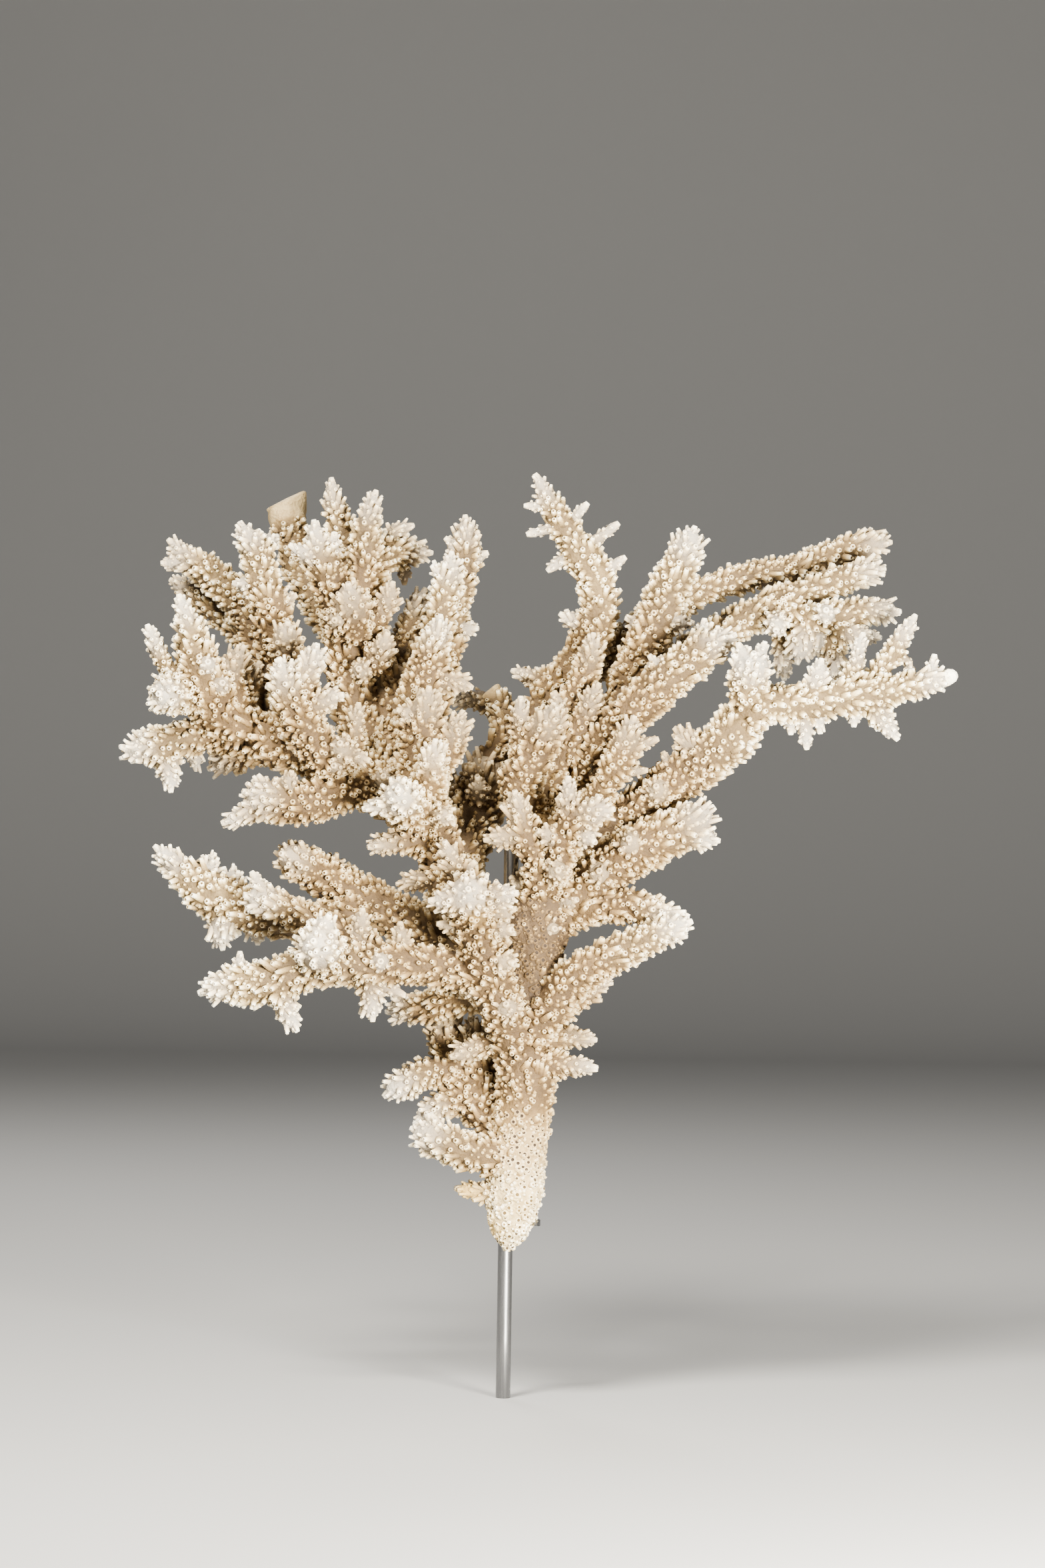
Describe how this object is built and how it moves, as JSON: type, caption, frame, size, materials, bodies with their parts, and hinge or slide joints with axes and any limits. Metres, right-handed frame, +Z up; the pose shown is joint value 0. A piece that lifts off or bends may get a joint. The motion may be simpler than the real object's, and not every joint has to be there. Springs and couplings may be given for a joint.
{
  "type": "mounted coral branch",
  "caption": "Bleached branching coral with tubular cups, standing on a slim steel rod that rises behind its stem.",
  "frame": {"origin": "centre of the rod's flat foot", "axes": "+Z up along the rod, +X to the coral's right as seen from its front, -Y towards the front"},
  "size_m": [0.2831, 0.1261, 0.3166],
  "materials": {
    "coral": "rough, porous",
    "steel": "dark, polished"
  },
  "bodies": {
    "root": {"post": "steel", "support_prong": "steel", "lower_clip": "steel", "trunk": "coral", "front_stem": "coral", "middle_stem": "coral", "lower_rear_branch": "coral", "lower_left_branch": "coral", "left_root_limb": "coral", "left_front_limb": "coral", "left_shaded_limb": "coral", "left_rear_branch": "coral", "left_hook_limb": "coral", "left_hook_front": "coral", "back_stem": "coral", "centre_rear_branch": "coral", "back_arch": "coral", "front_left_stem": "coral", "left_spire": "coral", "rear_spire": "coral", "left_high_limb": "coral", "left_high_rear_branch": "coral", "left_high_front": "coral", "left_outer_tip": "coral", "left_outer_front": "coral", "left_outer_low": "coral", "left_fan": "coral", "left_fan_inner": "coral", "left_fan_front": "coral", "crown_stem": "coral", "crown_rear_branch": "coral", "crown_front": "coral", "crown_left": "coral", "crown_right": "coral", "crown_far_right": "coral", "crown_broken": "coral", "upper_stem": "coral", "centre_front_branch": "coral", "centre_spire": "coral", "tall_spire": "coral", "spire_rear_branch": "coral", "right_upper_limb": "coral", "right_upper_rear_branch": "coral", "right_upper_front": "coral", "right_slim_branch": "coral", "right_top_limb": "coral", "right_second_limb": "coral", "right_third_limb": "coral", "right_reaching_limb": "coral", "right_rear_branch": "coral", "right_reaching_tip": "coral", "right_wide_limb": "coral", "right_inner_limb": "coral", "right_low_limb": "coral", "star_branch": "coral", "front_centre_branch": "coral"}
  },
  "joints": []
}
